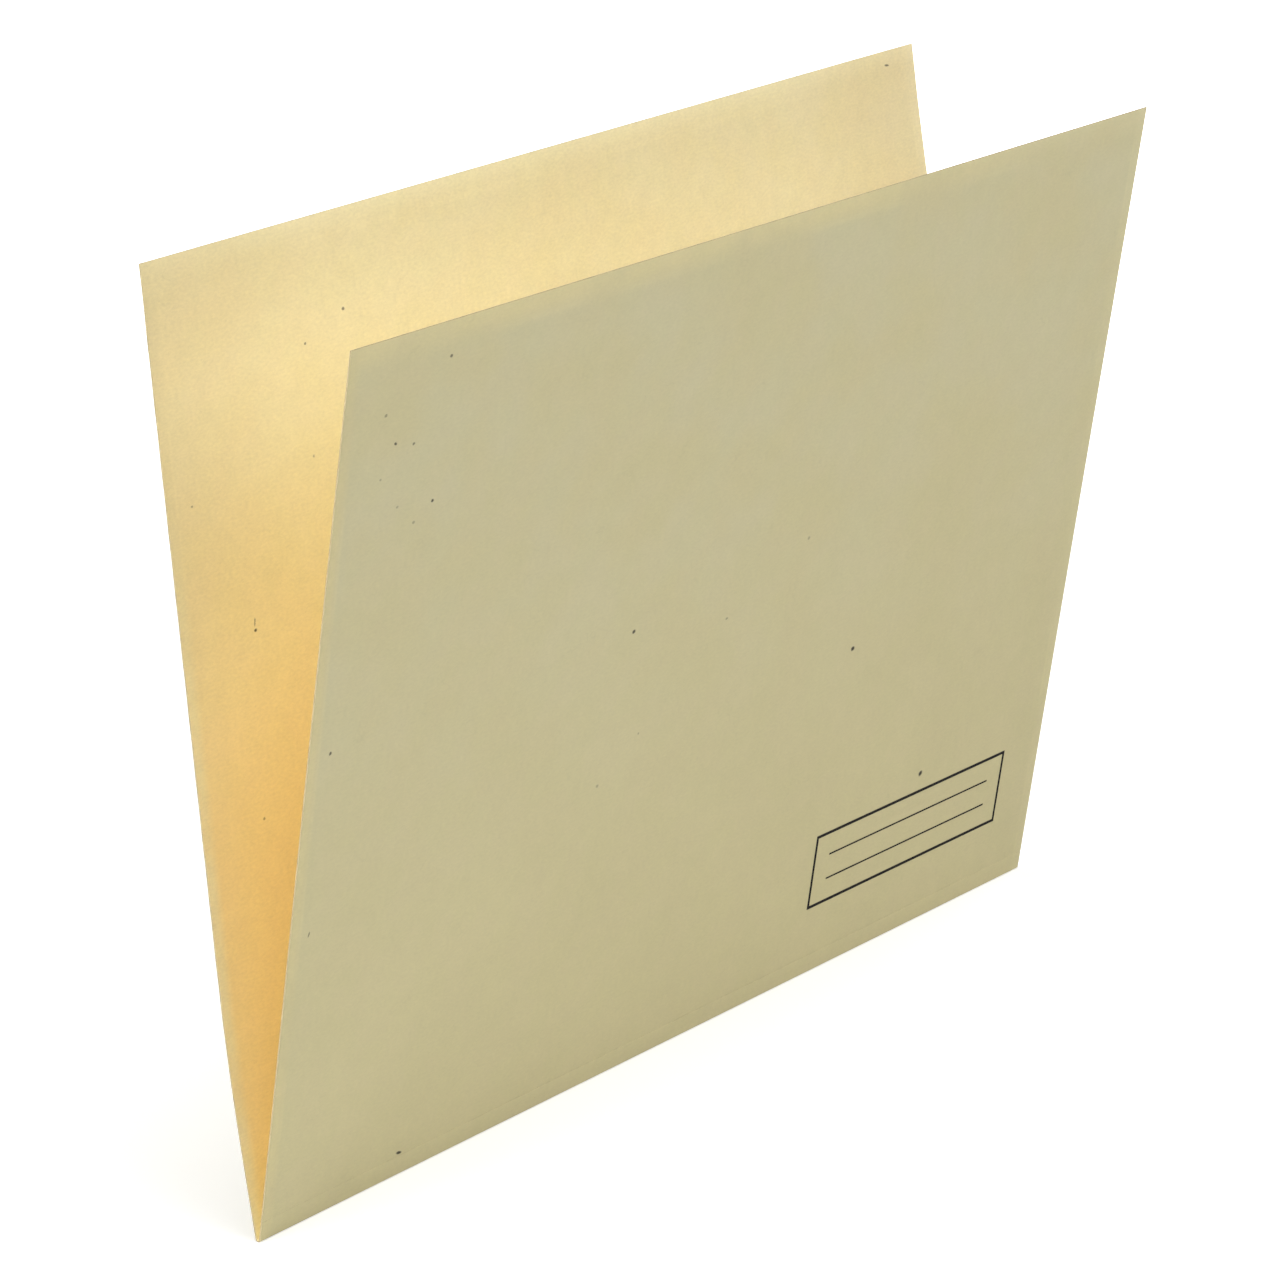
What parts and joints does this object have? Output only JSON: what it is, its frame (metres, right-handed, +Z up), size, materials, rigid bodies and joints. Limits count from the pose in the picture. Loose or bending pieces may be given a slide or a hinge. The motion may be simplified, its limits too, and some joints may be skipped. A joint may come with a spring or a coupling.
{
  "type": "manila folder",
  "caption": "Folded manila card folder standing open on its fold, with a taller back leaf that curls in at one corner, a score across the foot of the front leaf and a printed label frame.",
  "frame": {"origin": "under the middle of the fold, on the surface that the folder stands on", "axes": "+X along the fold to the right as seen from the front, +Y towards the back leaf, +Z up"},
  "size_m": [0.32, 0.0791, 0.2393],
  "materials": {
    "card": "matt, uncoated, fine fibre",
    "ink": "matt black print"
  },
  "bodies": {
    "fold": {"fold_crease": "card"},
    "back": {"back_leaf": "card"},
    "strip": {"front_strip": "card", "front_score": "card"},
    "front": {"front_leaf": "card", "label_frame": "ink", "label_rules": "ink"}
  },
  "joints": [
    {"name": "back_fold", "type": "hinge", "parent": "fold", "child": "back", "pos_m": [0, 0, 0.00035], "axis": [-1, 0, 0], "range_deg": [-7.7, 80.5]},
    {"name": "front_fold", "type": "hinge", "parent": "fold", "child": "strip", "pos_m": [0, 0, 0.00035], "axis": [1, 0, 0], "range_deg": [-7.7, 80.5]},
    {"name": "front_score", "type": "hinge", "parent": "strip", "child": "front", "pos_m": [0, -0.00142, 0.00518], "axis": [-1, 0, 0], "range_deg": [-80.5, 0]}
  ]
}
